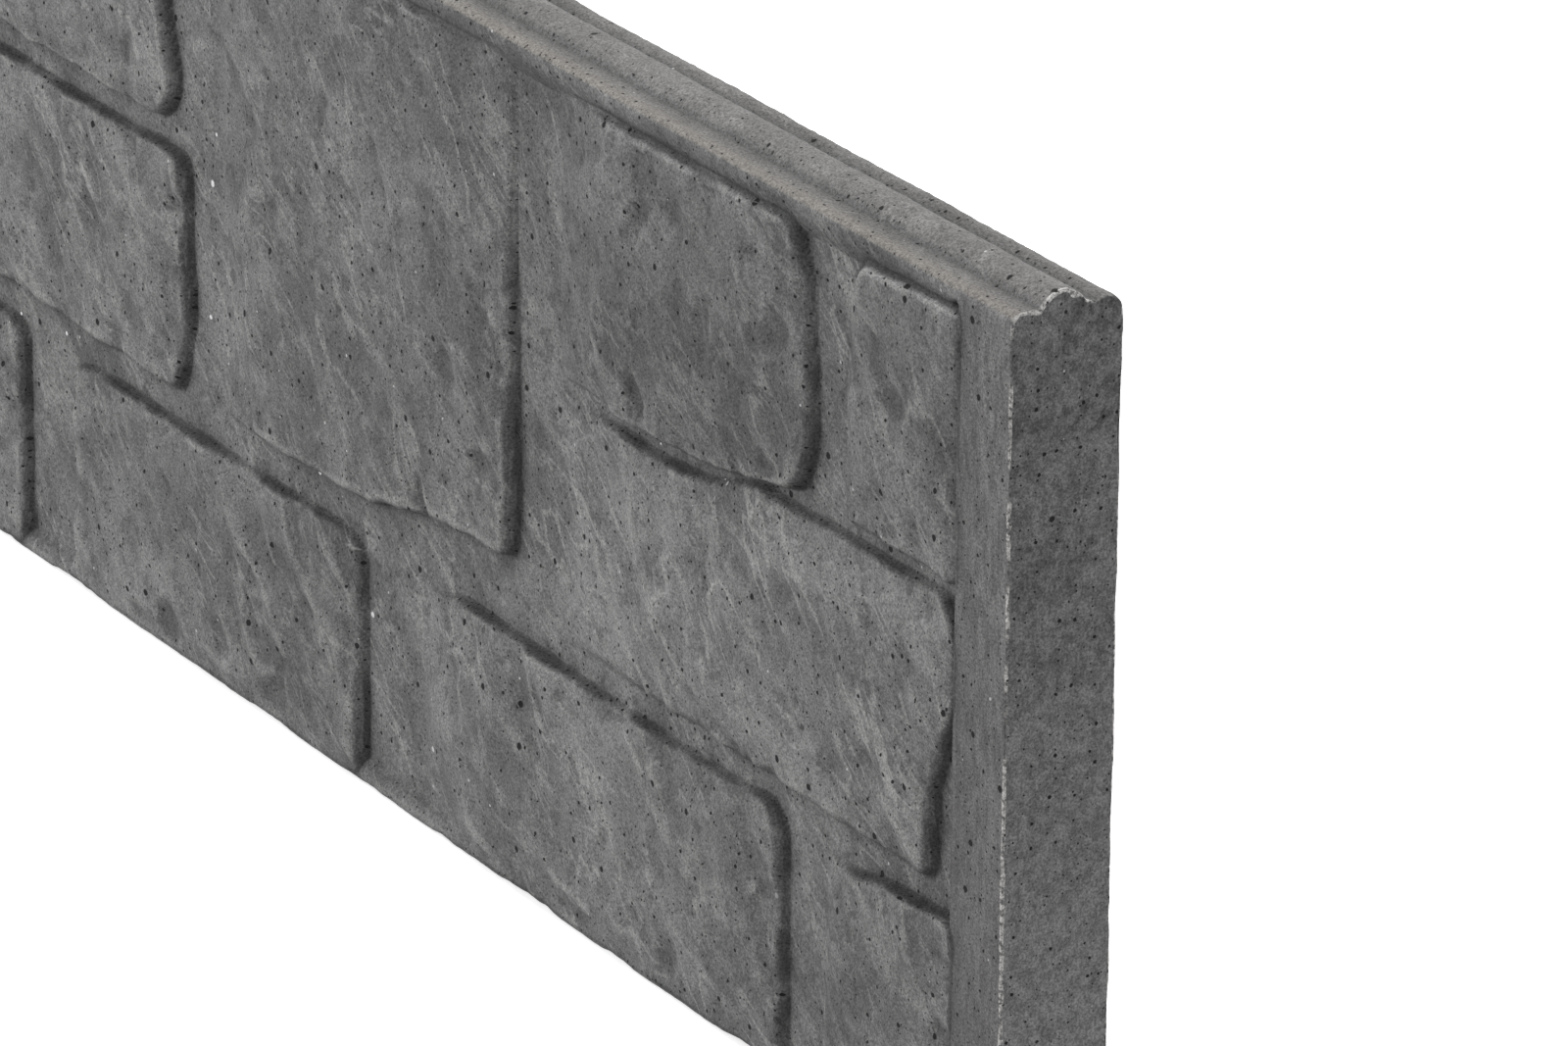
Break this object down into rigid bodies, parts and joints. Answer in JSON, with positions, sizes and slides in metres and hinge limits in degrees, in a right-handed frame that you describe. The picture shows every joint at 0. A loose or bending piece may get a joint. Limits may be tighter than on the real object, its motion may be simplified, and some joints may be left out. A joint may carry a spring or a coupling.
{
  "type": "precast concrete fence panel",
  "caption": "Anthracite precast concrete fence panel with a rough stone relief, a tongue along the top edge, a groove along the underside and plain end strips for slotted posts.",
  "frame": {"origin": "middle of the underside, centred on the length and on the thickness", "axes": "+X along the length, +Y from the stone face to the plain back, +Z from the groove edge to the tongue edge"},
  "size_m": [1.84, 0.048, 0.366],
  "materials": {
    "concrete": "matt cast concrete, anthracite, with pale bloom and small air holes",
    "mesh_steel": "drawn wire with a thin film of rust",
    "spacer_plastic": "moulded grey plastic"
  },
  "bodies": {
    "root": {"concrete_panel": "concrete", "mesh_bar_1": "mesh_steel", "mesh_bar_2": "mesh_steel", "mesh_bar_3": "mesh_steel", "mesh_bar_4": "mesh_steel", "mesh_wire_1": "mesh_steel", "mesh_wire_2": "mesh_steel", "mesh_wire_3": "mesh_steel", "mesh_wire_4": "mesh_steel", "mesh_wire_5": "mesh_steel", "mesh_wire_6": "mesh_steel", "spacer_lower_1": "spacer_plastic", "spacer_lower_2": "spacer_plastic", "spacer_lower_3": "spacer_plastic", "spacer_upper_1": "spacer_plastic", "spacer_upper_2": "spacer_plastic", "spacer_upper_3": "spacer_plastic"}
  },
  "joints": []
}
